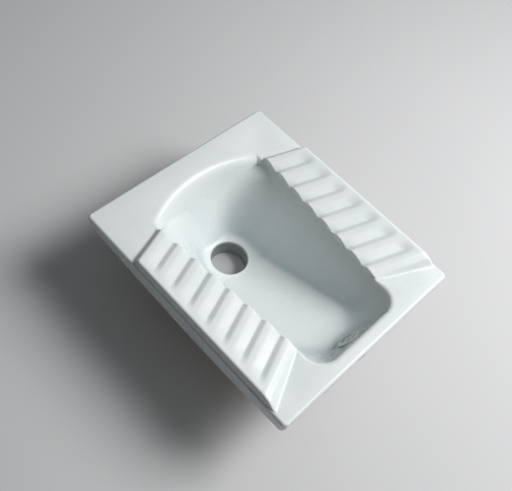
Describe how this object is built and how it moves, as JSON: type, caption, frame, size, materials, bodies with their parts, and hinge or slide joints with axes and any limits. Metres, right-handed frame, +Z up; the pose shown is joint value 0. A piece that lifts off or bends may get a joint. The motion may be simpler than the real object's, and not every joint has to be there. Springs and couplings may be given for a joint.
{
  "type": "squat toilet pan",
  "caption": "Rectangular squat toilet pan in glazed china with ribbed foot treads, a tapering bowl and a bottom outlet near the head end.",
  "frame": {"origin": "centre of the plan on the surface that the pan stands on", "axes": "+X across the pan, +Y towards the head end with the outlet, +Z up"},
  "size_m": [0.45, 0.53, 0.2214],
  "materials": {
    "glazed_china": "glossy white glaze",
    "bisque": "unglazed fired china",
    "moulded_plastic": "satin white moulding",
    "black_rubber": "matt moulded rubber"
  },
  "bodies": {
    "root": {"deck": "glazed_china", "left_tread": "glazed_china", "right_tread": "glazed_china", "bowl": "glazed_china", "outlet_horn": "bisque", "inlet_spud": "bisque", "bearing_web": "bisque", "flush_spreader": "moulded_plastic", "inlet_bush": "black_rubber", "outlet_seal": "black_rubber"}
  },
  "joints": []
}
